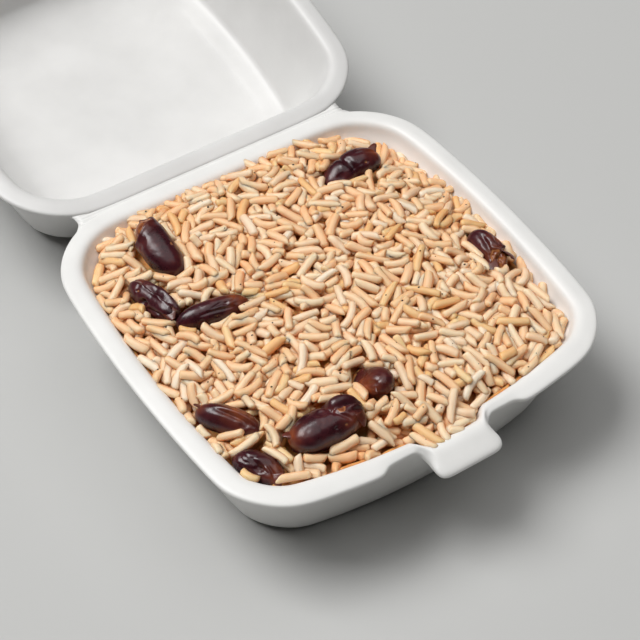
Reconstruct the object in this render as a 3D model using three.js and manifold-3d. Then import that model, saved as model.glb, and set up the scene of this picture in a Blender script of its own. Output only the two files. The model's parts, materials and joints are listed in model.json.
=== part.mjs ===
// Rice and kidney beans in a hinged foam takeaway box with its lid open.
// Millimetres, +Z up. The origin is the centre of the tray's underside, the hinge runs along X
// at the back, and the front, where the tab is, faces -Y.
import * as THREE from "three";
import { mergeVertices } from "three/addons/utils/BufferGeometryUtils.js";
import Module from "manifold-3d";

const wasm = await Module();
wasm.setup();

// Driving dimensions of the box
const boxWidth = 133; // across the rim, at the middle of the bowed sides
const boxDepth = 131; // hinge edge to the middle of the bowed front edge
const trayHeight = 34.6; // underside to the crown of the rim
const lidDepth = 35.5; // crown of the lid's rim to its outer face
const lidTilt = 7.8; // degrees that the open lid stays raised
const wall = 2.2; // foam thickness
const flange = 5.4; // rim's outer edge to its crown
const clearance = 0.35; // between solids that touch

const frontY = -boxDepth / 2;
const backY = boxDepth / 2 + 0.5;
const hinge = { y: backY + 0.3, z: trayHeight + 0.3 };

// Outline of the rim's outer edge and of the foot, where the wall meets the underside
const rimShape = {
  halfWidth: boxWidth / 2 - 4,
  front: frontY + 8.4,
  back: backY,
  frontRadius: 16,
  backRadius: 24,
  frontBow: 8.4,
  sideBow: 4,
};
const footShape = {
  halfWidth: boxWidth / 2 - 15.5,
  front: frontY + 19.5,
  back: backY - 14,
  frontRadius: 13,
  backRadius: 16,
  frontBow: 6.5,
  sideBow: 4,
};
// The panel in the lid's middle, bounded by a crease
const panelShape = {
  halfWidth: 40.6,
  front: frontY + 38.8,
  back: backY - 27,
  frontRadius: 9,
  backRadius: 9,
  frontBow: 1.5,
  sideBow: 1.3,
};

const cornerSteps = 5;
const sideSteps = 4;
const backSteps = 5;

function mixShape(a, b, t, inset = 0) {
  const shape = {};
  for (const key of Object.keys(a)) shape[key] = THREE.MathUtils.lerp(a[key], b[key], t);
  shape.halfWidth -= inset;
  shape.front += inset;
  shape.back -= inset;
  shape.frontRadius = Math.max(shape.frontRadius - inset, 4);
  shape.backRadius = Math.max(shape.backRadius - inset, 4);
  return shape;
}

// A rounded rectangle, anticlockwise from the right side. The front edge has a point at each
// share of its straight length in frontShares, and the front and sides then bow outwards.
function outline(shape, frontShares) {
  const { halfWidth, front, back, frontRadius, backRadius } = shape;
  const points = [];
  const corner = (side, y, radius, from) => {
    const arc = new THREE.EllipseCurve(
      side * (halfWidth - radius),
      y - Math.sign(y) * radius,
      radius,
      radius,
      from,
      from + Math.PI / 2,
    );
    points.push(...arc.getPoints(cornerSteps));
  };
  const straight = (x0, y0, x1, y1, steps) => {
    const line = new THREE.LineCurve(new THREE.Vector2(x0, y0), new THREE.Vector2(x1, y1));
    for (let i = 1; i < steps; i++) points.push(line.getPoint(i / steps));
  };
  corner(1, back, backRadius, 0);
  straight(halfWidth - backRadius, back, backRadius - halfWidth, back, backSteps);
  corner(-1, back, backRadius, Math.PI / 2);
  straight(-halfWidth, back - backRadius, -halfWidth, front + frontRadius, sideSteps);
  corner(-1, front, frontRadius, Math.PI);
  const reach = halfWidth - frontRadius;
  for (const share of frontShares) points.push(new THREE.Vector2(share * reach, front));
  corner(1, front, frontRadius, 1.5 * Math.PI);
  straight(halfWidth, front + frontRadius, halfWidth, back - backRadius, sideSteps);

  const middle = (front + back) / 2;
  const halfDepth = (back - front) / 2;
  for (const p of points) {
    const across = p.x / halfWidth;
    const along = (p.y - middle) / halfDepth;
    const bowX = Math.sign(across) * shape.sideBow * (1 - along ** 2) * Math.abs(across) ** 3;
    const bowY = along < 0 ? -shape.frontBow * (1 - across ** 2) * Math.abs(along) ** 3 : 0;
    p.set(p.x + bowX, p.y + bowY);
  }
  return points;
}

// Rings of points, each the same number, joined into one closed skin. The first and the last
// ring are closed by a fan, and the rings run from underneath, outwards, up and back inside.
function skin(rings) {
  const count = rings[0].length;
  const positions = [];
  const index = [];
  for (const ring of rings) for (const p of ring) positions.push(p.x, p.y, p.z);
  const centre = (ring) => {
    const c = ring.reduce((sum, p) => sum.add(p), new THREE.Vector3()).divideScalar(count);
    positions.push(c.x, c.y, ring[0].z);
    return positions.length / 3 - 1;
  };
  const first = centre(rings[0]);
  const last = centre(rings.at(-1));
  const lastRow = (rings.length - 1) * count;
  for (let i = 0; i < count; i++) {
    const j = (i + 1) % count;
    for (let row = 0; row < lastRow; row += count) {
      const [a, b, c, d] = [row + i, row + j, row + count + j, row + count + i];
      index.push(a, b, c, a, c, d);
    }
    index.push(first, j, i, last, lastRow + i, lastRow + j);
  }
  const geometry = new THREE.BufferGeometry();
  geometry.setAttribute("position", new THREE.Float32BufferAttribute(positions, 3));
  geometry.setIndex(index);
  return geometry;
}

const raise = (points, z) => points.map((p) => new THREE.Vector3(p.x, p.y, z));
const smooth = (from, to, value) => THREE.MathUtils.smoothstep(value, from, to);

// ---- Tray: the rim has a pouring lip and a tab at the middle of the front, with a notch each side
const tab = { halfWidth: 10.9, tip: -72.4, corner: 4, lip: 3.8, lipHalf: 8.2, droop: 2.6 };
const notch = { bottom: -62.2, end: 20.5, out: 26 };

// Half of the front edge, from the middle to the right, as two paths of matching stretches:
// where the crown of the rim runs, and where its outer edge runs.
function frontPaths() {
  const bowed = (x, inset) => {
    const shape = mixShape(rimShape, rimShape, 0, inset);
    return shape.front - shape.frontBow * (1 - (x / shape.halfWidth) ** 2);
  };
  const crownY = (x) => bowed(x, flange) - tab.lip * (1 - smooth(tab.lipHalf, tab.halfWidth + 2, x));
  const v = (x, y) => new THREE.Vector2(x, y);
  const neck = notch.bottom - 3.4;
  const stretches = [
    [3, 0, 7, new THREE.LineCurve(v(0, tab.tip), v(tab.halfWidth - tab.corner, tab.tip))],
    [
      4, 7, 8.6,
      new THREE.QuadraticBezierCurve(
        v(tab.halfWidth - tab.corner, tab.tip),
        v(tab.halfWidth + 0.6, tab.tip - 0.2),
        v(tab.halfWidth, tab.tip + tab.corner),
      ),
    ],
    [3, 8.6, 10, new THREE.LineCurve(v(tab.halfWidth, tab.tip + tab.corner), v(tab.halfWidth - 0.4, neck))],
    [
      4, 10, 13.5,
      new THREE.QuadraticBezierCurve(
        v(tab.halfWidth - 0.4, neck),
        v(tab.halfWidth - 0.2, notch.bottom),
        v(tab.halfWidth + 3.6, notch.bottom),
      ),
    ],
    [3, 13.5, notch.end, new THREE.LineCurve(v(tab.halfWidth + 3.6, notch.bottom), v(notch.end, notch.bottom))],
    [
      4, notch.end, notch.out,
      new THREE.CubicBezierCurve(
        v(notch.end, notch.bottom),
        v(notch.end + 2, notch.bottom),
        v(notch.out - 3, bowed(notch.out - 2, 0)),
        v(notch.out, bowed(notch.out, 0)),
      ),
    ],
  ];
  const crown = [v(0, crownY(0))];
  const edge = [v(0, tab.tip)];
  for (const [steps, from, to, curve] of stretches) {
    for (let i = 1; i <= steps; i++) {
      const x = THREE.MathUtils.lerp(from, to, i / steps);
      crown.push(v(x, crownY(x)));
      edge.push(curve.getPoint(i / steps));
    }
  }
  const reach = rimShape.halfWidth - rimShape.frontRadius;
  for (const x of [0.4, 0.75].map((t) => THREE.MathUtils.lerp(notch.out, reach, t))) {
    crown.push(v(x, crownY(x)));
    edge.push(v(x, bowed(x, 0)));
  }
  return { crown, edge };
}

const mirrored = (half) => [
  ...half.slice(1).reverse().map((p) => new THREE.Vector2(-p.x, p.y)),
  ...half,
];
const front = frontPaths();
const crownFront = mirrored(front.crown);
const edgeFront = mirrored(front.edge);
const crownReach = rimShape.halfWidth - rimShape.frontRadius;
const trayShares = crownFront.map((p) => p.x / crownReach);
const frontStart = 2 * (cornerSteps + 1) + (backSteps - 1) + (sideSteps - 1) + cornerSteps + 1;

function trayOutline(blend, inset) {
  return outline(mixShape(rimShape, footShape, blend, inset), trayShares);
}

function withFront(points, path) {
  const result = points.map((p) => p.clone());
  path.forEach((p, i) => result[frontStart + i].copy(p));
  return result;
}

const crownLine = withFront(trayOutline(0, flange), crownFront);
const edgeLine = withFront(trayOutline(0, 0), edgeFront);

// A ring between the crown and the outer edge of the rim
function rimRing(share, drop, tabDrop) {
  return crownLine.map((p, i) => {
    const q = p.clone().lerp(edgeLine[i], share);
    const onTab = 1 - smooth(tab.halfWidth - 1, tab.halfWidth + 2, Math.abs(q.x));
    const inFront = q.y < 0 ? onTab : 0;
    return new THREE.Vector3(q.x, q.y, trayHeight - drop - tabDrop * inFront);
  });
}

// A ring on the wall. The pouring lip pushes its front outwards, most at the top.
function wallRing(blend, inset, z) {
  const lipDepth = 12;
  const push = tab.lip * (1 - smooth(0, lipDepth, trayHeight - z));
  return trayOutline(blend, inset).map((p) => {
    const share = p.y < 0 ? 1 - smooth(tab.lipHalf, tab.halfWidth + 2, Math.abs(p.x)) : 0;
    return new THREE.Vector3(p.x, p.y - push * share, z);
  });
}

const trayInside = (gap) => [
  wallRing(0, flange + 1.3 + gap, trayHeight - 0.9),
  wallRing(0, flange + 1.9 + gap, trayHeight - 3),
  wallRing(0.12, flange + 1.7 + gap, trayHeight - 5.4),
  wallRing(0.16, flange + 2.1 + gap, trayHeight - 6.2),
  wallRing(0.62, wall + 2.4 + gap, 14),
  wallRing(0.95, wall + 0.9 + gap, 6.2 + gap),
  wallRing(1, wall + 2.6 + gap, 3.4 + gap),
  wallRing(1, wall + 6 + gap, wall + gap),
];

function trayGeometry() {
  return skin([
    wallRing(1, 6, 0),
    wallRing(1, 2.2, 0.5),
    wallRing(1, 0.5, 2),
    wallRing(0.93, 0.1, 5.2),
    wallRing(0.5, 1.9, 19),
    wallRing(0.08, 3.9, trayHeight - 4.2),
    rimRing(0.32, 2.9, 0),
    rimRing(0.9, 2.7, tab.droop),
    rimRing(1, 2.1, tab.droop),
    rimRing(1, 1.2, tab.droop),
    rimRing(0.9, 0.7, tab.droop * 0.85),
    rimRing(0.5, 0.35, tab.droop * 0.45),
    rimRing(0.12, 0, 0),
    ...trayInside(0),
  ]);
}

// ---- Lid: the same outline as the tray, mirrored across the hinge, with a creased panel
const lidShares = [-0.75, -0.5, -0.25, 0, 0.25, 0.5, 0.75];

function lidGeometry() {
  const ring = (from, to, blend, inset, z) => raise(outline(mixShape(from, to, blend, inset), lidShares), z);
  const floor = trayHeight - lidDepth;
  const lidFoot = mixShape(footShape, footShape, 0, 2);
  const geometry = skin([
    ring(lidFoot, panelShape, 0.5, 0, floor),
    ring(lidFoot, panelShape, 0.1, 0, floor + 0.5),
    ring(rimShape, lidFoot, 1, -0.6, floor + 2.4),
    ring(rimShape, lidFoot, 0.93, -0.3, floor + 6),
    ring(rimShape, footShape, 0.5, 1.9, floor + 19),
    ring(rimShape, footShape, 0.08, 3.9, trayHeight - 4),
    ring(rimShape, footShape, 0, 3.2, trayHeight - 2.8),
    ring(rimShape, footShape, 0, 0.6, trayHeight - 2.6),
    ring(rimShape, footShape, 0, 0, trayHeight - 2.0),
    ring(rimShape, footShape, 0, 0, trayHeight - 1.2),
    ring(rimShape, footShape, 0, 0.6, trayHeight - 0.7),
    ring(rimShape, footShape, 0, 2.7, trayHeight - 0.35),
    ring(rimShape, footShape, 0, flange - 0.6, trayHeight),
    ring(rimShape, footShape, 0, flange + 1.3, trayHeight - 0.9),
    ring(rimShape, footShape, 0, flange + 2.2, trayHeight - 3.4),
    ring(rimShape, footShape, 0.5, wall + 2.6, floor + 20),
    ring(rimShape, lidFoot, 0.93, wall + 0.4, floor + 8.4),
    ring(rimShape, lidFoot, 1, wall - 0.1, floor + 5.2),
    ring(lidFoot, panelShape, 0.28, wall - 0.6, floor + 4),
    ring(lidFoot, panelShape, 0.9, 0, floor + 3.2),
    ring(panelShape, panelShape, 0, 1, floor + wall),
  ]);
  geometry.scale(1, -1, 1);
  const flipped = geometry.index.array;
  for (let i = 0; i < flipped.length; i += 3) {
    [flipped[i + 1], flipped[i + 2]] = [flipped[i + 2], flipped[i + 1]];
  }
  // The near edge goes to the hinge, and the lid's own frame turns about the hinge line
  geometry.translate(0, backY + 0.3, -hinge.z);
  return geometry;
}

// ---- Beans: [x, y, z of the middle], length, how it lies, and its shape where that is its own
const plainBean = { width: 0.52, waist: 0.1, bend: 0.05 }; // shares of its length and half width
const beans = [
  { at: [-34.6, 39.4, 37.8], length: 22.8, turn: 92, roll: 20, tip: 14, width: 0.53 },
  { at: [-45.2, 23.4, 35.2], length: 20.5, turn: -80, roll: -55, tip: 3, width: 0.5, waist: 0.2 },
  { at: [-34.2, 9.0, 36.8], length: 23.0, turn: -12, roll: 60, tip: 3, width: 0.38 },
  { at: [33.8, 38.4, 34.2], length: 22.5, turn: 8, roll: 35, tip: 6, waist: 0.3, bend: 0.12 },
  { at: [50.2, -11.6, 32.6], length: 17.5, turn: -88, roll: 40, tip: -8 },
  { at: [-9.6, -36.8, 35.0], length: 15.0, turn: -70, roll: 15, tip: 40, width: 0.7, bend: 0 },
  { at: [-29.6, -43.4, 36.2], length: 23.6, turn: -3, roll: -40, tip: 3, width: 0.6, waist: 0.16 },
  { at: [-50.4, -26.2, 34.6], length: 20.0, turn: -52, roll: 62, tip: -4, width: 0.46 },
  { at: [-50.8, -42.4, 32.0], length: 15.5, turn: -58, roll: 20, tip: -6, width: 0.56 },
];

function beanGeometry(bean) {
  const { length, width, waist, bend } = { ...plainBean, ...bean };
  const geometry = new THREE.SphereGeometry(1, 14, 9);
  geometry.rotateZ(Math.PI / 2); // poles at the bean's two ends
  const position = geometry.getAttribute("position");
  const halfLength = length / 2;
  const halfWidth = (length * width) / 2;
  for (let i = 0; i < position.count; i++) {
    const [x, y, z] = [position.getX(i), position.getY(i), position.getZ(i)];
    const blunt = Math.sign(x) * Math.abs(x) ** 0.92;
    const full = 1 + 0.16 * x * x; // the ends are rounder than an egg's
    const dip = y < 0 ? 1 - waist * Math.exp(-((x / 0.42) ** 2)) : 1;
    const bow = bend * halfWidth * (1 - 2 * x * x);
    position.setXYZ(i, blunt * halfLength, y * dip * full * halfWidth + bow, z * full * halfWidth * 0.84);
  }
  return geometry;
}

function placeBean(mesh, { at, turn, roll, tip }) {
  const rad = THREE.MathUtils.degToRad;
  mesh.position.set(...at);
  mesh.rotation.set(rad(roll), rad(-tip), rad(turn), "ZYX");
}

// ---- Rice: one heap, out to its uneven outline, that fills the tray and rises over the rim
const heap = { middle: 38.2, front: 34.6, back: 35.4, left: 33.2, right: 29.2 };

function heapHeight(x, y) {
  const u = x / (boxWidth / 2 - 7);
  const v = y / (boxDepth / 2 - 6);
  const side = u < 0 ? heap.left : heap.right;
  const end = v < 0 ? heap.front : heap.back;
  const across = Math.abs(u) ** 3;
  const along = Math.abs(v) ** 3;
  const base = heap.middle + (side - heap.middle) * across + (end - heap.middle) * along;
  const corner = Math.max(0, u * v * Math.sign(v)) * Math.abs(u * v) ** 2;
  const backCorner = v > 0 ? 6.2 * Math.abs(u * v) ** 2 : 1.2 * corner;
  const lumps =
    0.55 * Math.sin(x * 0.31 + 1.3) * Math.sin(y * 0.27 - 0.4) +
    0.4 * Math.sin(x * 0.63 - y * 0.41) +
    0.3 * Math.sin(x * 0.22 + y * 0.71 + 2);
  return base - backCorner + lumps;
}

// A slab from under the tray's floor up to the heap's surface
function heapGeometry() {
  const half = boxWidth / 2 + 2;
  const steps = 28;
  const geometry = new THREE.BoxGeometry(2 * half, 2 * half, 1, steps, steps, 1);
  const position = geometry.getAttribute("position");
  for (let i = 0; i < position.count; i++) {
    const [x, y] = [position.getX(i), position.getY(i)];
    position.setZ(i, position.getZ(i) > 0 ? heapHeight(x, y) : -5);
  }
  return geometry;
}

function riceGeometry(beanMeshes) {
  const chimney = 20; // the heap may rise this far over the rim, no wider than the rim's inside
  const inside = trayInside(clearance).reverse();
  const top = inside.at(-1).map((p) => new THREE.Vector3(p.x, p.y, trayHeight + chimney));
  let rice = solid(skin([...inside, top])).intersect(solid(heapGeometry()));
  for (const mesh of beanMeshes) {
    const room = mesh.clone();
    room.scale.setScalar(1 + (2.4 * clearance) / mesh.userData.thickness);
    room.updateMatrix();
    rice = rice.subtract(solid(room.geometry.clone().applyMatrix4(room.matrix)));
  }
  const bodies = rice.simplify(0.3).decompose().sort((a, b) => b.volume() - a.volume());
  return fromSolid(bodies[0]);
}

// ---- Solids to and from the joining library
function solid(geometry) {
  const bare = geometry.clone();
  bare.deleteAttribute("normal");
  bare.deleteAttribute("uv");
  const merged = mergeVertices(bare, 1e-4);
  const vertProperties = merged.getAttribute("position").array;
  return new wasm.Manifold(
    new wasm.Mesh({ numProp: 3, vertProperties, triVerts: new Uint32Array(merged.index.array) }),
  );
}

function fromSolid(body) {
  const { vertProperties, triVerts } = body.getMesh();
  const geometry = new THREE.BufferGeometry();
  geometry.setAttribute("position", new THREE.Float32BufferAttribute(vertProperties, 3));
  geometry.setIndex([...triVerts]);
  return geometry;
}

// ---- The parts
const foamMaterial = new THREE.MeshStandardMaterial({ color: 0xf1efec, roughness: 0.55, metalness: 0 });
const riceMaterial = new THREE.MeshStandardMaterial({ color: 0xe6c3a0, roughness: 0.6, metalness: 0 });
const beanMaterial = new THREE.MeshStandardMaterial({ color: 0x3c1923, roughness: 0.3, metalness: 0 });

function named(name, geometry, material) {
  const mesh = new THREE.Mesh(geometry, material);
  mesh.name = name;
  return mesh;
}

const part = new THREE.Group();
part.add(named("tray", trayGeometry(), foamMaterial));

const lidPivot = new THREE.Group();
lidPivot.position.set(0, hinge.y, hinge.z);
lidPivot.rotation.x = THREE.MathUtils.degToRad(lidTilt);
lidPivot.add(named("lid", lidGeometry(), foamMaterial));
part.add(lidPivot);

const beanMeshes = beans.map((bean, i) => {
  const geometry = fromSolid(solid(beanGeometry(bean)));
  const mesh = named(`bean_${i + 1}`, geometry, beanMaterial);
  mesh.userData.thickness = bean.length * (bean.width ?? plainBean.width);
  placeBean(mesh, bean);
  mesh.updateMatrix();
  return mesh;
});
part.add(named("rice", riceGeometry(beanMeshes), riceMaterial), ...beanMeshes);

export default part;
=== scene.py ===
# Rice and kidney beans in a hinged foam takeaway box, lid open. In metres, with the front towards -Y.
import copy
import json
import math
import random

import bpy
from mathutils import Matrix, Vector, noise
from mathutils.bvhtree import BVHTree


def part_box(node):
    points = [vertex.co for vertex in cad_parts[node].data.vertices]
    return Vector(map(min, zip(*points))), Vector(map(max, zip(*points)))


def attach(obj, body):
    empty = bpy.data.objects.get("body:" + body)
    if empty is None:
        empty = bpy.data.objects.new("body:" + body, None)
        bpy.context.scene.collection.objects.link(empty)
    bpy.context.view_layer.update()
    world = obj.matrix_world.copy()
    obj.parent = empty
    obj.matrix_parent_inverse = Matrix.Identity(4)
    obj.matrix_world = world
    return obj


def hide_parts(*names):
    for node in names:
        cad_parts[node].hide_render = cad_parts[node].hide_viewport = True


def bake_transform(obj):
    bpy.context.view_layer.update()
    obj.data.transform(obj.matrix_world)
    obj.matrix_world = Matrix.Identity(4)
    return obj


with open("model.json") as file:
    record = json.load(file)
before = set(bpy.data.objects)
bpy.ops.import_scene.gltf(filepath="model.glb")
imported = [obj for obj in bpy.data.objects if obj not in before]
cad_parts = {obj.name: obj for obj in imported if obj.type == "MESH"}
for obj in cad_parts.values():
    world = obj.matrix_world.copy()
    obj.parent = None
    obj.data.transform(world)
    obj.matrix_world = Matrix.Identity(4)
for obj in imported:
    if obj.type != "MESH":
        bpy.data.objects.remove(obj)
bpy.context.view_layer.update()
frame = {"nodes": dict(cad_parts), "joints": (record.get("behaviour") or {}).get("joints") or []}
mm = 0.001
print("frame loaded")

hingeJoint = next(j for j in frame["joints"] if j["name"] == "lid_hinge")
hingePoint = Vector(hingeJoint["pos_m"])
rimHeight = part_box("tray")[1][2]


def selectOnly(*objects):
    bpy.ops.object.select_all(action="DESELECT")
    for item in objects:
        item.select_set(True)
    bpy.context.view_layer.objects.active = objects[0]


def addModifier(item, kind, **settings):
    modifier = item.modifiers.new(kind.title(), kind)
    for key, value in settings.items():
        setattr(modifier, key, value)
    selectOnly(item)
    bpy.ops.object.modifier_apply(modifier=modifier.name)


def smoothAll(item):
    selectOnly(item)
    bpy.ops.object.shade_smooth()


def newMesh(name, vertices, faces):
    mesh = bpy.data.meshes.new(name)
    mesh.from_pydata(vertices, [], faces)
    mesh.validate()
    item = bpy.data.objects.new(name, mesh)
    bpy.context.scene.collection.objects.link(item)
    return item


def copyNode(node, name):
    # a merged copy of a node's solid, with its triangles turned back into quads
    item = frame["nodes"][node].copy()
    item.data = item.data.copy()
    item.name = item.data.name = name
    item.parent = None
    item.matrix_world = Matrix.Identity(4)
    bpy.context.scene.collection.objects.link(item)
    for key in list(item.keys()):
        del item[key]
    selectOnly(item)
    bpy.ops.object.mode_set(mode="EDIT")
    bpy.ops.mesh.select_all(action="SELECT")
    bpy.ops.mesh.remove_doubles(threshold=0.01 * mm)
    bpy.ops.mesh.tris_convert_to_quads(
        face_threshold=math.radians(60), shape_threshold=math.radians(120))
    bpy.ops.object.mode_set(mode="OBJECT")
    return item


def treeOf(item):
    mesh = item.data
    return BVHTree.FromPolygons([v.co for v in mesh.vertices], [p.vertices for p in mesh.polygons])


def wear(item, material):
    item.data.materials.clear()
    item.data.materials.append(material)


view = {
    "azimuth": -33.74,  # degrees round from the front
    "elevation": 48.26,
    "roll": 0.55,
    "distance": 574 * mm,
    "lens": 102.5,  # on a 36 mm sensor
    "aim": (8.57 * mm, 17.35 * mm, 0),
}


def placeCamera():
    azimuth = math.radians(view["azimuth"])
    elevation = math.radians(view["elevation"])
    back = Vector((
        math.sin(azimuth) * math.cos(elevation),
        -math.cos(azimuth) * math.cos(elevation),
        math.sin(elevation),
    ))
    right = Vector((math.cos(azimuth), math.sin(azimuth), 0))
    turn = Matrix((right, back.cross(right), back)).transposed()
    roll = Matrix.Rotation(math.radians(view["roll"]), 3, "Z")
    data = bpy.data.cameras.new("camera")
    data.lens = view["lens"]
    data.sensor_width = 36
    data.clip_start = 0.01
    camera = bpy.data.objects.new("camera", data)
    bpy.context.scene.collection.objects.link(camera)
    place = Vector(view["aim"]) + back * view["distance"]
    camera.matrix_world = Matrix.Translation(place) @ (turn @ roll).to_4x4()
    bpy.context.scene.camera = camera


placeCamera()
print("camera placed")


def colour(code, alpha=1.0):
    # sRGB hex to the linear values that the shaders use
    parts = [int(code[i:i + 2], 16) / 255 for i in (0, 2, 4)]
    return [c / 12.92 if c < 0.04045 else ((c + 0.055) / 1.055) ** 2.4 for c in parts] + [alpha]


def addNode(tree, kind, inputs=(), **settings):
    node = tree.nodes.new(kind)
    for key, value in settings.items():
        setattr(node, key, value)
    for key, value in dict(inputs).items():
        if isinstance(value, bpy.types.NodeSocket):
            tree.links.new(value, node.inputs[key])
        else:
            node.inputs[key].default_value = value
    return node


def startMaterial(name):
    material = bpy.data.materials.new(name)
    material.use_nodes = True
    tree = material.node_tree
    tree.nodes.clear()
    shader = addNode(tree, "ShaderNodeBsdfPrincipled")
    output = addNode(tree, "ShaderNodeOutputMaterial")
    tree.links.new(shader.outputs["BSDF"], output.inputs["Surface"])
    return material, tree, shader


def setShader(tree, shader, inputs):
    for key, value in inputs.items():
        if isinstance(value, bpy.types.NodeSocket):
            tree.links.new(value, shader.inputs[key])
        else:
            shader.inputs[key].default_value = value


def rampNode(tree, factor, stops):
    node = addNode(tree, "ShaderNodeValToRGB", {"Fac": factor})
    elements = node.color_ramp.elements
    while len(elements) < len(stops):
        elements.new(0.5)
    for element, (position, code) in zip(elements, stops):
        element.position = position
        element.color = colour(code)
    return node


def foamFinish(name, dark, pale):
    # Thermoformed polystyrene foam sheet: satin white skin, faintly mottled by the cells beneath
    material, tree, shader = startMaterial(name)
    place = addNode(tree, "ShaderNodeTexCoord").outputs["Object"]
    cells = addNode(tree, "ShaderNodeTexVoronoi", {"Vector": place, "Scale": 1 / (1.1 * mm)})
    cloud = addNode(tree, "ShaderNodeTexNoise", {
        "Vector": place, "Scale": 1 / (16 * mm), "Detail": 3.0,
    })
    fine = addNode(tree, "ShaderNodeTexNoise", {"Vector": place, "Scale": 1 / (0.5 * mm), "Detail": 2.0})
    tone = rampNode(tree, cloud.outputs["Fac"], [(0.3, dark), (0.7, pale)])
    gloss = addNode(tree, "ShaderNodeMapRange", {
        "Value": cloud.outputs["Fac"], "To Min": 0.3, "To Max": 0.46,
    })
    bumpCells = addNode(tree, "ShaderNodeBump", {
        "Height": cells.outputs["Distance"], "Strength": 0.16, "Distance": 0.05 * mm,
    })
    bumpFine = addNode(tree, "ShaderNodeBump", {
        "Height": fine.outputs["Fac"], "Strength": 0.12, "Distance": 0.05 * mm,
        "Normal": bumpCells.outputs["Normal"],
    })
    setShader(tree, shader, {
        "Base Color": tone.outputs["Color"],
        "Roughness": gloss.outputs["Result"],
        "Normal": bumpFine.outputs["Normal"],
        "IOR": 1.5,
        "Specular IOR Level": 0.42,
        "Subsurface Weight": 0.12,
        "Subsurface Radius": (1.0, 0.98, 0.95),
        "Subsurface Scale": 1.2 * mm,
    })
    return material


def mixColour(tree, factor, first, second):
    node = addNode(tree, "ShaderNodeMix", data_type="RGBA")
    tree.links.new(factor, node.inputs[0])
    for index, value in ((6, first), (7, second)):
        if isinstance(value, bpy.types.NodeSocket):
            tree.links.new(value, node.inputs[index])
        else:
            node.inputs[index].default_value = colour(value)
    return node.outputs[2]


def grainFinish(name, pale, middle, soakAndEdgeShade, translucency):
    # Cooked long-grain rice: moist translucent starch, stained where the broth has seeped in, with painted
    # shade at the grain edges, which turn towards the stain colour as they turn away from the view
    material, tree, shader = startMaterial(name)
    place = addNode(tree, "ShaderNodeTexCoord").outputs["Object"]
    tone = addNode(tree, "ShaderNodeAttribute", attribute_name="grainTone").outputs["Fac"]
    soak = addNode(tree, "ShaderNodeAttribute", attribute_name="grainSoak").outputs["Fac"]
    streaks = addNode(tree, "ShaderNodeTexNoise", {
        "Vector": place, "Scale": 1 / (1.8 * mm), "Detail": 3.0,
    })
    mixTone = addNode(tree, "ShaderNodeMath", {
        0: streaks.outputs["Fac"], 1: 0.5, 2: tone,
    }, operation="MULTIPLY_ADD")
    body = rampNode(tree, mixTone.outputs[0], [(0.3, pale), (1.15, middle)])
    # painted shade: edges seen at a grazing angle are mixed towards the stain colour, darkening each
    # grain's outline
    facing = addNode(tree, "ShaderNodeLayerWeight", {"Blend": 0.5}).outputs["Facing"]
    rim = rampNode(tree, facing, [(0.2, "000000"), (0.9, "d0d0d0")])
    edgeShadedBody = mixColour(tree, rim.outputs["Color"], body.outputs["Color"], soakAndEdgeShade)
    stained = mixColour(tree, soak, edgeShadedBody, soakAndEdgeShade)
    bump = addNode(tree, "ShaderNodeBump", {
        "Height": streaks.outputs["Fac"], "Strength": 0.2, "Distance": 0.12 * mm,
    })
    setShader(tree, shader, {
        "Base Color": stained,
        "Roughness": 0.46,
        "Normal": bump.outputs["Normal"],
        "IOR": 1.42,
        "Specular IOR Level": 0.36,
        "Subsurface Weight": translucency,
        "Subsurface Radius": (1.0, 0.94, 0.86),
        "Subsurface Scale": 2.0 * mm,
    })
    return material


def plainFinish(name, light, dark, patch, roughness, subsurface=0.0, bumpDepth=0.15):
    # a moist, uneven food surface: two tones in soft patches
    material, tree, shader = startMaterial(name)
    place = addNode(tree, "ShaderNodeTexCoord").outputs["Object"]
    cloud = addNode(tree, "ShaderNodeTexNoise", {"Vector": place, "Scale": 1 / patch, "Detail": 4.0})
    tone = rampNode(tree, cloud.outputs["Fac"], [(0.35, dark), (0.65, light)])
    bump = addNode(tree, "ShaderNodeBump", {
        "Height": cloud.outputs["Fac"], "Strength": 0.4, "Distance": bumpDepth * mm,
    })
    setShader(tree, shader, {
        "Base Color": tone.outputs["Color"],
        "Roughness": roughness,
        "Normal": bump.outputs["Normal"],
        "IOR": 1.42,
        "Subsurface Weight": subsurface,
        "Subsurface Radius": (1.0, 0.4, 0.2),
        "Subsurface Scale": 1 * mm,
    })
    return material


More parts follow.
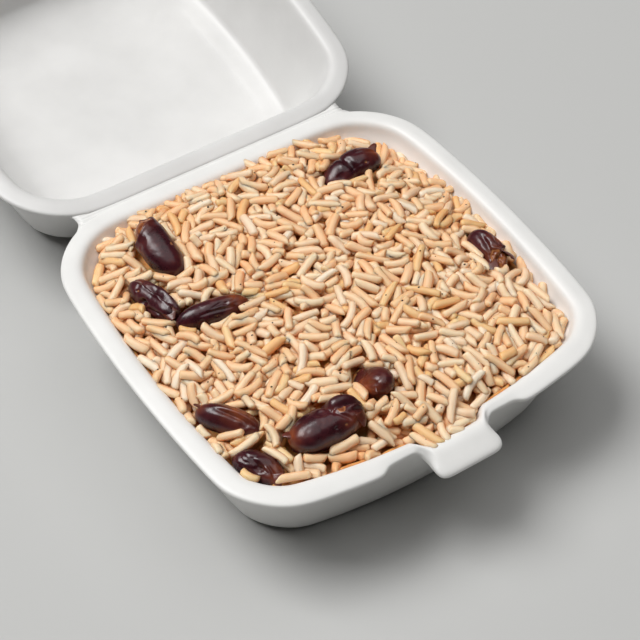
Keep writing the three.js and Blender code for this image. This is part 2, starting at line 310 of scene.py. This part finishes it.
def beanFinish():
    # Boiled kidney bean: taut glossy seed coat, near black, thin and amber or torn in places.
    # The beanBare attribute runs from 0, skin, through 0.5, a torn edge, to 1, the floury inside.
    material, tree, shader = startMaterial("kidneyBeanBoiled")
    place = addNode(tree, "ShaderNodeTexCoord").outputs["Object"]
    bare = addNode(tree, "ShaderNodeAttribute", attribute_name="beanBare").outputs["Fac"]
    thin = addNode(tree, "ShaderNodeAttribute", attribute_name="beanThin").outputs["Fac"]
    cloud = addNode(tree, "ShaderNodeTexNoise", {"Vector": place, "Scale": 1 / (6 * mm), "Detail": 4.0})
    veins = addNode(tree, "ShaderNodeTexNoise", {
        "Vector": place, "Scale": 1 / (1.3 * mm), "Detail": 4.0, "Distortion": 1.0,
    })
    blend = addNode(tree, "ShaderNodeMath", {
        0: veins.outputs["Fac"], 1: 0.35, 2: cloud.outputs["Fac"],
    }, operation="MULTIPLY_ADD")
    skin = rampNode(tree, blend.outputs[0], [(0.48, "2c0f16"), (0.7, "43181f"), (0.95, "5c2320")])
    amber = mixColour(tree, thin, skin.outputs["Color"], "8a4526")
    inside = rampNode(tree, veins.outputs["Fac"], [(0.35, "6b2f1d"), (0.7, "b0703f")])
    edge = rampNode(tree, bare, [(0.3, "000000"), (0.5, "ffffff"), (0.7, "000000")])
    torn = rampNode(tree, bare, [(0.45, "000000"), (0.55, "ffffff")])
    opened = mixColour(tree, torn.outputs["Color"], amber, inside.outputs["Color"])
    whole = mixColour(tree, edge.outputs["Color"], opened, "b4784a")
    gloss = addNode(tree, "ShaderNodeMapRange", {
        "Value": cloud.outputs["Fac"], "To Min": 0.16, "To Max": 0.42,
    })
    bump = addNode(tree, "ShaderNodeBump", {
        "Height": veins.outputs["Fac"], "Strength": 0.35, "Distance": 0.16 * mm,
    })
    setShader(tree, shader, {
        "Base Color": whole,
        "Roughness": gloss.outputs["Result"],
        "Normal": bump.outputs["Normal"],
        "IOR": 1.45,
        "Specular IOR Level": 0.5,
        "Coat Weight": 0.18,
        "Coat Roughness": 0.22,
        "Subsurface Weight": 0.08,
        "Subsurface Radius": (1.0, 0.3, 0.2),
        "Subsurface Scale": 1 * mm,
    })
    return material


foam = foamFinish("polystyreneFoamThermoformed", "e5e4e1", "ebeae7")
# painted shade: the lid wears a greyer copy of the same foam sheet, so that its open inside reads darker
# than the tray's rim
foamLidPaintedShade = foamFinish("polystyreneFoamLidPaintedShade", "d6d5d3", "dddcda")
creamRice = grainFinish("longGrainRiceBoiled", "f9d9b8", "f5c89e", "e69048", 0.95)
paleRice = grainFinish("longGrainRiceTranslucent", "f9e2ca", "f2d0ae", "de9852", 0.95)
stainedRice = grainFinish("longGrainRiceBrothStained", "f3cf9f", "eec08a", "d88a44", 0.95)
packedRice = plainFinish("packedRiceInBroth", "e2a868", "cb8a4c", 3 * mm, 0.5, 0.6, 0.4)
boiledBean = beanFinish()
spice = plainFinish("groundSpiceSpecks", "35201a", "150d0a", 0.4 * mm, 0.6)
print("materials ready")


def foamShell(node, name, body, finish):
    # the foam rounds every fold of the sheet, so the solid's faces are taken as a subdivision cage
    shell = copyNode(node, name)
    addModifier(shell, "SUBSURF", levels=2, render_levels=2)
    smoothAll(shell)
    wear(shell, finish)
    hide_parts(node)
    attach(shell, body)
    return shell


foamShell("tray", "foamTray", "tray", foam)
# the lid's greyer foam is painted shade
foamShell("lid", "foamLid", "lid", foamLidPaintedShade)

web = {
    "reach": 48 * mm,  # half its length along the hinge, at the hinge line
    "flare": (3.2 * mm, 0.4 * mm),  # how much longer it is where it meets the tray's and the lid's flange
    "halfWidth": 4.2 * mm,  # it runs this far under each flange
    "below": 1.1 * mm,  # its top under the crown of the rim
    "thickness": 0.8 * mm,
    "grooves": (-1.4 * mm, 0, 1.4 * mm),
    "grooveDepth": 0.24 * mm,
    "grooveWidth": 0.3 * mm,
    "sink": 1.2 * mm,  # how far its long edges dip under the flanges
    "bendHalf": 2.2 * mm,  # half a width about the hinge line
}


def hingeWeb():
    bpy.ops.object.select_all(action="DESELECT")
    bpy.ops.mesh.primitive_grid_add(x_subdivisions=48, y_subdivisions=36, size=2, location=(0, 0, 0))
    strip = bpy.context.object
    strip.name = strip.data.name = "hingeWeb"
    top = rimHeight - web["below"]
    for vertex in strip.data.vertices:
        along, across = vertex.co.x, vertex.co.y
        y = across * web["halfWidth"]
        end = web["reach"] + web["flare"][across > 0] * across * across
        groove = sum(math.exp(-((y - g) / web["grooveWidth"]) ** 2) for g in web["grooves"])
        sink = web["sink"] * across ** 4
        vertex.co = (along * end, hingePoint.y + y, top - groove * web["grooveDepth"] - sink)
    addModifier(strip, "SOLIDIFY", thickness=web["thickness"], offset=-1)
    smoothAll(strip)
    wear(strip, foam)
    end = (0, hingePoint.y + web["bendHalf"], hingePoint.z)
    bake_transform(strip)
    return strip


hingeWeb()
print("box modelled")


# Each bean is read in its own frame: "along" runs from -1 to 1 towards the viewer's right, and
# "round" is in degrees about it, 0 on top and positive towards the viewer.
# grooves: (along, round) to (along, round), width and depth in mm, where a negative depth is a ridge
# pits: (along, round), radius, depth, and how bare; tears: side, along at the top, and its slant
# crumple: depth and size in mm; thin: (along, round), radius of a patch where the skin is amber
# flaps: (along, round), length, width, lift, and the direction its tip points, in degrees
# buried: grains may lie over it
beanLooks = {
    "bean_1": {
        "tears": [(-1, 0.66, 0.003)],
        "grooves": [((0.1, -30), (0.3, -38), 0.5, -0.25)],
        "pits": [((-0.3, 62), 2.2, 0.5, 0), ((0.22, -34), 0.7, 0.25, 0.6)],
        "thin": [((-0.95, 40), 4)],
        "crumple": (0.16, 3.5),
        "flaps": [],
    },
    "bean_2": {
        "grooves": [
            ((-0.75, -10), (0.75, -22), 2.0, 1.9), ((-0.8, 12), (0.7, 6), 1.1, -0.9),
            ((0.1, 84), (0.75, 70), 0.9, 0.9), ((-0.9, -40), (-0.3, -52), 1.0, 0.7),
            ((-0.2, -44), (0.8, -50), 1.2, -0.5),
        ],
        "pits": [((-0.12, 66), 1.3, 1.7, 0.2), ((-0.45, 40), 0.5, 0.3, 0.5)],
        "crumple": (0.5, 5.5),
        "flaps": [((0.86, 30), 3.6, 4.4, -0.4, 20), ((-0.8, -30), 3.0, 3.0, 0.9, -100)],
    },
    "bean_3": {
        "grooves": [
            ((-0.35, 34), (0.5, 40), 0.7, 0.45), ((-0.05, 20), (0.3, 2), 0.6, 0.4),
            ((0.2, 30), (0.62, 12), 0.8, -0.3),
        ],
        "pits": [((0.35, 14), 0.8, 0.4, 0.3), ((0.05, 60), 0.5, 0.2, 0.4)],
        "thin": [((0.7, 0), 3.4)],
        "crumple": (0.2, 3.0),
        "flaps": [((0.12, 100), 1.6, 1.0, 0.6, 90)],
    },
    "bean_4": {
        "buried": True,
        "grooves": [((-0.1, -70), (0.0, 80), 1.6, 1.1), ((0.3, -10), (0.9, 15), 0.8, 0.4)],
        "pits": [((-0.5, 30), 1.4, 0.4, 0), ((0.4, 40), 0.7, 0.4, 0.5)],
        "thin": [((0.9, 20), 3)],
        "crumple": (0.3, 4.0),
        "flaps": [((0.9, -20), 3, 3, 0.7, -30)],
    },
    "bean_5": {
        "tears": [(1, 0.42, -0.002)],
        "grooves": [((-0.6, 0), (0.3, 30), 1.3, 0.9), ((-0.2, -40), (0.4, -25), 0.9, 0.6)],
        "pits": [((0.45, 20), 2.2, 1.3, 0.9)],
        "thin": [((0.6, 30), 5), ((-0.1, -60), 3)],
        "crumple": (0.45, 3.6),
        "flaps": [((0.5, -50), 5, 5, 1.6, 20), ((0.55, 70), 4.4, 5, 1.2, 10)],
    },
    "bean_6": {
        "grooves": [((-0.5, 60), (0.2, 10), 1.0, 0.6), ((0.2, 60), (0.7, 50), 0.9, 0.6)],
        "pits": [((-0.3, 20), 1.3, 0.5, 0), ((0.1, 30), 0.8, 0.5, 0.3)],
        "thin": [((0.3, 70), 5)],
        "crumple": (0.34, 3.0),
        "flaps": [((-0.5, -20), 6.0, 3.4, 1.0, -125), ((0.7, 80), 1.6, 1.0, 0.5, 60)],
    },
    "bean_7": {
        "grooves": [
            ((0.06, -80), (0.26, 8), 1.1, 1.7), ((0.24, -14), (0.98, -6), 0.9, 1.7),
            ((0.26, -42), (0.95, -36), 2.8, -2.0), ((0.28, 10), (0.5, 42), 0.8, 0.9),
            ((0.6, 8), (0.95, 22), 0.6, -0.5), ((0.6, 22), (0.9, 36), 0.6, 0.6),
            ((-0.95, -30), (-0.3, -44), 1.2, -0.5), ((-0.15, 4), (-0.22, 30), 0.4, 0.25),
        ],
        "pits": [
            ((0.42, 3), 1.2, 0.5, 1.0), ((0.1, 48), 0.7, 0.4, 0.2),
            ((0.35, 52), 0.6, 0.25, 0.5), ((-0.05, -12), 1.5, 0.6, 0),
        ],
        "thin": [((-0.95, -10), 3), ((0.75, 90), 4)],
        "crumple": (0.3, 4.2),
        "flaps": [((0.8, 50), 4.4, 4, 0.6, 100), ((-0.93, -30), 2.2, 2.4, 0.6, -150)],
    },
    "bean_8": {
        "grooves": [((-0.4, 2), (0.75, 16), 1.0, 0.7), ((-0.3, -14), (0.8, 0), 1.2, -0.5)],
        "pits": [((0.5, 30), 1.2, 0.4, 0)],
        "thin": [((0.25, -30), 5), ((-0.95, -10), 2)],
        "crumple": (0.2, 4.0),
        "flaps": [((-0.92, -20), 2, 2.4, 0.6, 170)],
    },
    "bean_9": {
        "buried": True,
        "grooves": [((-0.3, 10), (0.4, 40), 1.2, 0.8), ((0.3, 0), (0.8, 60), 0.9, 0.7)],
        "pits": [((0.1, 40), 1.2, 0.6, 0.1)],
        "thin": [((0.9, 40), 4)],
        "crumple": (0.5, 2.8),
        "flaps": [((0.8, 40), 4, 4, 0.8, 60)],
    },
}
rightward = Vector((0.83, -0.56, 0))
axisRounds = 30  # of turning a bean's axis towards its longest direction
tornDepth = 0.45 * mm  # skin thickness, with the gap under a lifted edge


class BeanFrame:
    # a bean's long axis and girth, found from its solid
    def __init__(self, points):
        self.middle = sum(points, Vector()) / len(points)
        axis = rightward.copy()
        offsets = [p - self.middle for p in points]
        for _ in range(axisRounds):
            axis = sum((offset * offset.dot(axis) for offset in offsets), Vector()).normalized()
        self.axis = axis if axis.dot(rightward) > 0 else -axis
        self.side = self.axis.cross(Vector((0, 0, 1))).normalized() * -1
        self.side = self.side if self.side.dot(Vector((0, 0, 1)).cross(rightward)) < 0 else -self.side
        self.up = self.side.cross(self.axis)
        self.up = self.up if self.up.z > 0 else -self.up
        self.half = max(abs(offset.dot(self.axis)) for offset in offsets)
        self.girth = max((offset - self.axis * offset.dot(self.axis)).length for offset in offsets)

    def read(self, point):
        offset = point - self.middle
        turned = math.degrees(math.atan2(offset.dot(self.side), offset.dot(self.up)))
        return offset.dot(self.axis) / self.half, turned

    def flat(self, along, turned):
        # the skin laid out flat, in millimetres
        narrowing = math.sqrt(max(0.15, 1 - along * along))
        return Vector((along * self.half / mm, math.radians(turned) * self.girth / mm * narrowing))


def lineDistance(point, start, end):
    run = end - start
    share = min(1, max(0, (point - start).dot(run) / run.length_squared))
    return (point - start - run * share).length, share


def carve(frameOf, looks, point, seed):
    # how far the skin rises here in millimetres, how bare it is, and how thin
    along, turned = frameOf.read(point)
    flat = frameOf.flat(along, turned)
    depth, size = looks["crumple"]
    local = point / (size * mm) + seed
    crease = max(0, 0.22 - abs(noise.noise(local * 0.8 - seed)))
    rise = depth * (0.6 * noise.noise(local) - 1.6 * crease + 0.2)
    bare = thin = 0
    for start, end, width, groove in looks["grooves"]:
        distance, share = lineDistance(flat, frameOf.flat(*start), frameOf.flat(*end))
        distance *= 1 + 0.35 * noise.noise(point / (1.5 * mm) + seed)
        fade = math.sin(math.pi * (0.12 + 0.76 * share))
        rise -= groove * fade * math.exp(-((distance / width) ** 2) * 2)
    for place, radius, pit, opened in looks["pits"]:
        distance = (flat - frameOf.flat(*place)).length * (1 + 0.4 * noise.noise(point / (1.2 * mm) - seed))
        inside = math.exp(-((distance / radius) ** 4))
        rise -= pit * inside
        bare = max(bare, opened * inside)
    for side, at, slant in looks.get("tears", ()):
        edge = at - slant * turned * side * side + 0.09 * noise.noise(point / (2.2 * mm) + seed)
        beyond = (along * side - edge) * frameOf.half / mm
        step = 1 / (1 + math.exp(-max(-30, min(30, beyond / 0.16))))
        rise -= (tornDepth / mm + 0.5) * step
        rise += 0.5 * math.exp(-(((beyond + 0.6) / 0.6) ** 2))
        bare = max(bare, step * 0.9)
    for place, radius in looks.get("thin", ()):
        distance = (flat - frameOf.flat(*place)).length
        cover = math.exp(-((distance / radius) ** 2))
        thin = max(thin, cover * (0.7 + 0.6 * noise.noise(point / (1.6 * mm))))
    return rise, bare, thin


def skinFlap(frameOf, tree, place, length, width, lift, heading):
    # a lifted tongue of seed coat, rooted on the bean and narrowing to its tip
    along, turned = place
    angle = math.radians(turned)
    outward = frameOf.up * math.cos(angle) + frameOf.side * math.sin(angle)
    hit, normal, _, _ = tree.ray_cast(
        frameOf.middle + frameOf.axis * along * frameOf.half + outward * frameOf.girth * 2, -outward,
    )
    if hit is None:
        return None
    around = frameOf.axis.cross(normal).normalized()
    if around.dot(frameOf.side * math.cos(angle) - frameOf.up * math.sin(angle)) < 0:
        around = -around
    turn = math.radians(heading)
    ahead = (frameOf.axis * math.cos(turn) + around * math.sin(turn)).normalized()
    across = ahead.cross(normal).normalized()
    bpy.ops.object.select_all(action="DESELECT")
    bpy.ops.mesh.primitive_grid_add(x_subdivisions=9, y_subdivisions=6, size=2, location=(0, 0, 0))
    flap = bpy.context.object
    for vertex in flap.data.vertices:
        run, offset = (vertex.co.x + 1) / 2, vertex.co.y
        taper = (1 - 0.75 * run ** 1.6) * (1 + 0.25 * noise.noise(Vector((run * 3, offset * 2, length))))
        curl = lift * math.sin(run * math.pi * 0.7) - 0.35 * offset * offset * width / 3 * (1 - 0.5 * run)
        spot = hit + ahead * (run - 0.25) * length * mm + across * offset * taper * width / 2 * mm
        spot += normal * (curl - 0.1 + 0.25 * noise.noise(spot / (1.5 * mm))) * mm
        vertex.co = spot
    addModifier(flap, "SOLIDIFY", thickness=0.35 * mm, offset=0)
    addModifier(flap, "SUBSURF", levels=1, render_levels=1)
    return flap


def setAttribute(item, name, values):
    attribute = item.data.attributes.new(name, "FLOAT", "POINT")
    attribute.data.foreach_set("value", values)


def boiledKidneyBean(node):
    looks = beanLooks[node]
    bean = copyNode(node, node.replace("bean_", "kidneyBean"))
    addModifier(bean, "SUBSURF", levels=3, render_levels=3)
    frameOf = BeanFrame([v.co.copy() for v in bean.data.vertices])
    seed = Vector((3.1, 5.7, 11.7)) * int(node[5:])
    bean.data.update()
    skins = [(v.co.copy(), v.normal.copy()) for v in bean.data.vertices]
    carved = [carve(frameOf, looks, point, seed) for point, normal in skins]
    for vertex, (point, normal), (rise, bare, thin) in zip(bean.data.vertices, skins, carved):
        vertex.co = point + normal * rise * mm
    setAttribute(bean, "beanBare", [c[1] for c in carved])
    setAttribute(bean, "beanThin", [min(1, max(0, c[2])) for c in carved])
    tree = treeOf(bean)
    flaps = [skinFlap(frameOf, tree, *facts) for facts in looks["flaps"]]
    flaps = [f for f in flaps if f]
    for flap in flaps:
        setAttribute(flap, "beanThin", [0.3] * len(flap.data.vertices))
        setAttribute(flap, "beanBare", [0.0] * len(flap.data.vertices))
    if flaps:
        selectOnly(bean, *flaps)
        bpy.ops.object.join()
    smoothAll(bean)
    wear(bean, boiledBean)
    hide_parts(node)
    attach(bean, "tray")
    return bean


beanPieces = {node: boiledKidneyBean(node) for node in beanLooks}
print("beans modelled")


rice = {
    "cell": 0.5 * mm,  # of the height map that the grains are dropped on
    "layer": 4.0 * mm,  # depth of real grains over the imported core
    "edgeLayer": 3.0 * mm,  # more of them along the walls
    "tries": 12000,
    "spots": 5,  # places compared for each grain, the deepest being filled first
    "yaws": 4,
    "length": (7.0 * mm, 10.2 * mm),
    "width": (2.5 * mm, 3.1 * mm),
    "flatness": 0.86,
    "steepest": 0.6,  # slope of the steepest grain
    "press": 1.3 * mm,  # how far grains press into what they lie on
    "broken": 0.2,  # share of grains that are broken
    "brokenLength": (0.5, 0.8),
    "wallDepth": 1.0 * mm,  # least depth of rice over the wall where a grain lies
    "endDepth": 0.3 * mm,  # and under its ends
    "proud": 0.5 * mm,  # how far a grain's middle may rise over the heap's surface
    "shelf": (0.3 * mm, 6.0 * mm),  # limits over and under the crown, where the shut lid's rim comes down
    "shelfReach": 2.5 * mm,
    "shares": {"riceGrainsCream": 0.7, "riceGrainsPale": 0.17, "riceGrainsStained": 0.13},
    "specks": 120,
    "seed": 4,
}
random.seed(rice["seed"])


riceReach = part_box("rice")[1]


def layerDepth(x, y):
    # depth of the real grains here
    outwards = max(abs(x) / riceReach[0], abs(y) / riceReach[1])
    return rice["layer"] + rice["edgeLayer"] * outwards ** 5


def riceCore():
    # packed rice under the grains, lowered from the heap's surface
    core = copyNode("rice", "riceCore")
    addModifier(core, "REMESH", mode="VOXEL", voxel_size=1.5 * mm)
    for vertex, normal in [(v, v.normal.copy()) for v in core.data.vertices]:
        if normal.z > 0.3:
            unevenness = 0.8 * mm * noise.noise(vertex.co / (5 * mm))
            vertex.co.z -= layerDepth(vertex.co.x, vertex.co.y) + unevenness
    addModifier(core, "SMOOTH", factor=0.5, iterations=3)
    for vertex, normal in [(v, v.normal.copy()) for v in core.data.vertices]:
        vertex.co -= Vector((normal.x, normal.y, 0)) * 0.5 * mm
        vertex.co.z = max(vertex.co.z, 2.6 * mm)
    smoothAll(core)
    wear(core, packedRice)
    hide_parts("rice")
    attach(core, "tray")
    return core


# Cooked grains: bow, slant of one cut end, and swelling, each as a share of the width
grainForms = [
    (0.05, 0.1, 0.04), (0.14, 0.0, 0.1), (-0.04, 0.16, 0.0), (0.24, -0.1, 0.06),
    (0.1, 0.05, -0.04), (-0.14, 0.14, 0.08), (0.34, 0.0, 0.03), (0.02, -0.16, 0.1),
]


def grainTemplate(bow, slant, swell):
    # one grain lying along X, one unit long, wide and thick, with blunt rounded ends
    bpy.ops.object.select_all(action="DESELECT")
    bpy.ops.mesh.primitive_cylinder_add(vertices=8, radius=0.5, depth=0.94, location=(0, 0, 0))
    grain = bpy.context.object
    bpy.ops.object.mode_set(mode="EDIT")
    bpy.ops.mesh.select_all(action="SELECT")
    bpy.ops.transform.rotate(value=math.pi / 2, orient_axis="Y", center_override=(0, 0, 0))
    bpy.ops.mesh.select_mode(type="FACE")
    for place in (-0.41, -0.16, 0.16, 0.41):
        bpy.ops.mesh.select_all(action="SELECT")
        bpy.ops.mesh.bisect(plane_co=(place, 0, 0), plane_no=(1, 0, 0))
    bpy.ops.mesh.select_all(action="DESELECT")
    bpy.ops.object.mode_set(mode="OBJECT")
    for face in grain.data.polygons:
        face.select = abs(face.normal.x) > 0.9
    bpy.ops.object.mode_set(mode="EDIT")
    bpy.ops.mesh.inset(thickness=0.16, depth=0.03)
    bpy.ops.object.mode_set(mode="OBJECT")
    points = []
    for vertex in grain.data.vertices:
        x, y, z = vertex.co
        girth = 1 - 0.2 * max(0, 2 * abs(x) - 0.8) / 0.14 + swell * math.cos(9 * x + 40 * slant)
        cut = slant * y * (1.4 if x > 0.3 else 0)
        points.append(Vector((x + cut, y * girth + bow * (1 - 8 * x * x) * 0.6, z * girth)))
    faces = [tuple(p.vertices) for p in grain.data.polygons]
    bpy.data.objects.remove(grain)
    return points, faces


class HeightMap:
    # the height of whatever lies highest over each cell of the tray
    def __init__(self, low, high):
        self.low = low
        self.cell = rice["cell"]
        self.columns = int((high[0] - low[0]) / self.cell) + 1
        self.rows = int((high[1] - low[1]) / self.cell) + 1
        self.heights = [[-1.0] * self.columns for _ in range(self.rows)]

    def place(self, column, row):
        return self.low[0] + column * self.cell, self.low[1] + row * self.cell

    def lay(self, item):
        tree = treeOf(item)
        xs = [v.co.x for v in item.data.vertices]
        ys = [v.co.y for v in item.data.vertices]
        firstColumn, firstRow = self.index(min(xs), min(ys))
        lastColumn, lastRow = self.index(max(xs), max(ys))
        down = Vector((0, 0, -1))
        for row in range(firstRow, lastRow + 1):
            for column in range(firstColumn, lastColumn + 1):
                x, y = self.place(column, row)
                hit = tree.ray_cast(Vector((x, y, 0.1)), down)[0]
                if hit and hit.z > self.heights[row][column]:
                    self.heights[row][column] = hit.z

    def widened(self, reach):
        # each cell takes the greatest height within reach of it
        wide = copy.copy(self)
        steps = round(reach / self.cell)
        rows = [
            [max(row[max(0, c - steps):c + steps + 1]) for c in range(self.columns)]
            for row in self.heights
        ]
        wide.heights = [
            [max(column) for column in zip(*rows[max(0, k - steps):k + steps + 1])]
            for k in range(self.rows)
        ]
        return wide

    def index(self, x, y):
        column = round((x - self.low[0]) / self.cell)
        row = round((y - self.low[1]) / self.cell)
        return min(max(column, 0), self.columns - 1), min(max(row, 0), self.rows - 1)

    def at(self, x, y):
        column, row = self.index(x, y)
        return self.heights[row][column]


def restingLine(ground, x, y, direction, half, width, thick):
    # where a rod dropped flat comes to rest: its middle's height and its slope
    samples = []
    across = (-direction[1], direction[0])
    steps = 4  # samples on each side of the middle
    for k in range(-steps, steps + 1):
        s = half * 0.95 * k / steps
        highest = max(
            ground.at(x + direction[0] * s + across[0] * w, y + direction[1] * s + across[1] * w)
            for w in (-width * 0.25, 0, width * 0.25)
        )
        samples.append((s, highest + thick / 2))
    middle = samples[steps][1]
    for s1, h1 in samples[:steps]:
        for s2, h2 in samples[steps + 1:]:
            middle = max(middle, h1 + (h2 - h1) * -s1 / (s2 - s1))
    least = max((h - middle) / s for s, h in samples[steps + 1:])
    most = min((h - middle) / s for s, h in samples[:steps])
    return middle, (least + most) / 2


def dropGrains(ground, target, rimLine, shelf, bareBeans):
    grains = []
    low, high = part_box("rice")
    for _ in range(rice["tries"]):
        spots = []
        for _ in range(rice["spots"]):
            x, y = random.uniform(low[0], high[0]), random.uniform(low[1], high[1])
            spots.append((ground.at(x, y) - target.at(x, y), x, y))
        _, x, y = min(spots)
        surface = target.at(x, y)
        if surface < 0 or rimLine.at(x, y) > surface - rice["wallDepth"]:
            continue
        length = random.uniform(*rice["length"])
        if random.random() < rice["broken"]:
            length *= random.uniform(*rice["brokenLength"])
        width = random.uniform(*rice["width"])
        thick = width * rice["flatness"]
        best = None
        for _ in range(rice["yaws"]):
            yaw = random.uniform(0, 2 * math.pi)
            direction = (math.cos(yaw), math.sin(yaw))
            ends = [(x + direction[0] * s, y + direction[1] * s) for s in (-length / 2, 0, length / 2)]
            if max(rimLine.at(*e) for e in ends) > surface - rice["endDepth"]:
                continue
            if max(bareBeans.at(*e) for e in ends) > 0:
                continue
            middle, slope = restingLine(ground, x, y, direction, length / 2, width, thick)
            if abs(slope) < rice["steepest"] and (best is None or middle < best[0]):
                best = (middle, slope, yaw, direction)
        if best is None or best[0] - rice["press"] > surface + rice["proud"]:
            continue
        middle, slope, yaw, direction = best
        middle -= rice["press"]
        tops = [
            (x + direction[0] * s, y + direction[1] * s, middle + slope * s + thick / 2)
            for s in (-length / 2, 0, length / 2)
        ]
        over, under = rice["shelf"]
        if any(z > rimHeight + over and shelf.at(px, py) > rimHeight - under for px, py, z in tops):
            continue
        grains.append((x, y, middle, yaw, slope, length, width, thick))
        markGrain(ground, x, y, middle, direction, slope, length / 2, width, thick)
    return grains


def markGrain(ground, x, y, middle, direction, slope, half, width, thick):
    reach = half + width
    firstColumn, firstRow = ground.index(x - reach, y - reach)
    lastColumn, lastRow = ground.index(x + reach, y + reach)
    for row in range(firstRow, lastRow + 1):
        for column in range(firstColumn, lastColumn + 1):
            px, py = ground.place(column, row)
            s = (px - x) * direction[0] + (py - y) * direction[1]
            w = (py - y) * direction[0] - (px - x) * direction[1]
            inside = 1 - (s / half) ** 8 - (2 * w / width) ** 2
            if inside <= 0:
                continue
            top = middle + slope * s + thick / 2 * math.sqrt(inside)
            if top > ground.heights[row][column]:
                ground.heights[row][column] = top


def finishRice(piece, material):
    smoothAll(piece)
    wear(piece, material)
    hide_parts("rice")
    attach(piece, "tray")


def joinGrains(name, grains, templates, material, target):
    vertices, faces, tones, soaks = [], [], [], []
    for x, y, z, yaw, slope, length, width, thick in grains:
        points, polygons = random.choice(templates)
        along = Vector((math.cos(yaw), math.sin(yaw), slope)).normalized()
        across = Vector((-math.sin(yaw), math.cos(yaw), 0))
        roll = random.uniform(-0.5, 0.5)
        side = across * math.cos(roll) + along.cross(across) * math.sin(roll)
        up = along.cross(side)
        flip = random.choice((-1, 1))
        tone = random.random()
        depth = (target.at(x, y) - z) / layerDepth(x, y)
        soak = min(0.9, max(0.0, 1.4 * depth - 0.5 + random.gauss(0, 0.06)))
        first = len(vertices)
        middle = Vector((x, y, z))
        unlike = Vector((0, 0, random.uniform(0, 90)))
        for point in points:
            lump = noise.noise_vector(point * 2.6 + unlike) * 0.09
            p = point + Vector((lump.x * 0.3, lump.y, lump.z))
            vertices.append(
                middle + along * (p.x * flip * length) + side * (p.y * flip * width) + up * (p.z * thick))
            tones.append(tone)
            soaks.append(soak)
        faces.extend(tuple(first + i for i in polygon) for polygon in polygons)
    piece = newMesh(name, vertices, faces)
    setAttribute(piece, "grainTone", tones)
    setAttribute(piece, "grainSoak", soaks)
    finishRice(piece, material)
    print(name, len(grains), "grains")


def scatterSpecks(grains, target):
    # ground spice stuck to the uppermost grains
    bpy.ops.object.select_all(action="DESELECT")
    bpy.ops.mesh.primitive_ico_sphere_add(subdivisions=1, radius=0.5, location=(0, 0, 0))
    speck = bpy.context.object
    points = [v.co.copy() for v in speck.data.vertices]
    polygons = [tuple(p.vertices) for p in speck.data.polygons]
    bpy.data.objects.remove(speck)
    vertices, faces = [], []
    tops = [g for g in grains if g[2] > target.at(g[0], g[1]) - 1.6 * mm]
    for x, y, z, yaw, slope, length, width, thick in random.sample(tops, min(len(tops), rice["specks"])):
        s = random.uniform(-0.35, 0.35) * length
        w = random.uniform(-0.25, 0.25) * width
        rise = thick / 2 * math.sqrt(1 - (2 * w / width) ** 2)
        middle = Vector((
            x + math.cos(yaw) * s - math.sin(yaw) * w,
            y + math.sin(yaw) * s + math.cos(yaw) * w,
            z + slope * s + rise * 0.98,
        ))
        size = random.uniform(0.3, 0.65) * mm
        stretch = random.uniform(0.7, 1.5)
        first = len(vertices)
        vertices.extend(
            middle + Vector((p.x * size * stretch, p.y * size, p.z * size * 0.6)) for p in points)
        faces.extend(tuple(first + i for i in polygon) for polygon in polygons)
    finishRice(newMesh("spiceSpecks", vertices, faces), spice)


def scatterRice():
    core = riceCore()
    low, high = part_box("rice")
    ground, rimLine, target, bareBeans = (HeightMap(low, high) for _ in range(4))
    ground.lay(core)
    rimLine.lay(frame["nodes"]["tray"])
    target.lay(frame["nodes"]["rice"])
    for row in range(ground.rows):
        for column in range(ground.columns):
            wallHeight = rimLine.heights[row][column]
            ground.heights[row][column] = max(ground.heights[row][column], wallHeight)
    for node, piece in beanPieces.items():
        ground.lay(piece)
        if not beanLooks[node].get("buried"):
            bareBeans.lay(piece)
    templates = [grainTemplate(*form) for form in grainForms]
    grains = dropGrains(ground, target, rimLine, rimLine.widened(rice["shelfReach"]), bareBeans)
    kinds = dict(zip(rice["shares"], (creamRice, paleRice, stainedRice)))
    chosen = random.choices(list(kinds), list(rice["shares"].values()), k=len(grains))
    for kind, material in kinds.items():
        joinGrains(kind, [g for g, c in zip(grains, chosen) if c == kind], templates, material, target)
    scatterSpecks(grains, target)


scatterRice()
print("rice laid")


studio = {
    "floor": 4.0,
    "floorColour": "bdbdbb",
    "key": {"place": (-1.1, 1.1, 2.7), "size": 1.7, "power": 88},
    "fill": {"place": (0.5, -0.1, 2.6), "size": 3.0, "power": 32},
    "sky": 0.02,
}


def addStudio():
    bpy.ops.object.select_all(action="DESELECT")
    bpy.ops.mesh.primitive_plane_add(size=studio["floor"], location=(0, 0, 0))
    floor = bpy.context.object
    floor.name = "floor"
    material, tree, shader = startMaterial("paleFloor")
    setShader(tree, shader, {"Base Color": colour(studio["floorColour"]), "Roughness": 0.8})
    wear(floor, material)
    for name in ("key", "fill"):
        facts = studio[name]
        data = bpy.data.lights.new(name, "AREA")
        data.energy = facts["power"]
        data.size = facts["size"]
        light = bpy.data.objects.new(name, data)
        bpy.context.scene.collection.objects.link(light)
        light.location = facts["place"]
        light.rotation_euler = (-Vector(facts["place"])).to_track_quat("-Z", "Y").to_euler()
    world = bpy.data.worlds.new("sky")
    world.use_nodes = True
    world.node_tree.nodes["Background"].inputs["Color"].default_value = colour("ffffff")
    world.node_tree.nodes["Background"].inputs["Strength"].default_value = studio["sky"]
    bpy.context.scene.world = world
    bpy.context.scene.view_settings.view_transform = "Standard"


addStudio()
print("studio ready")
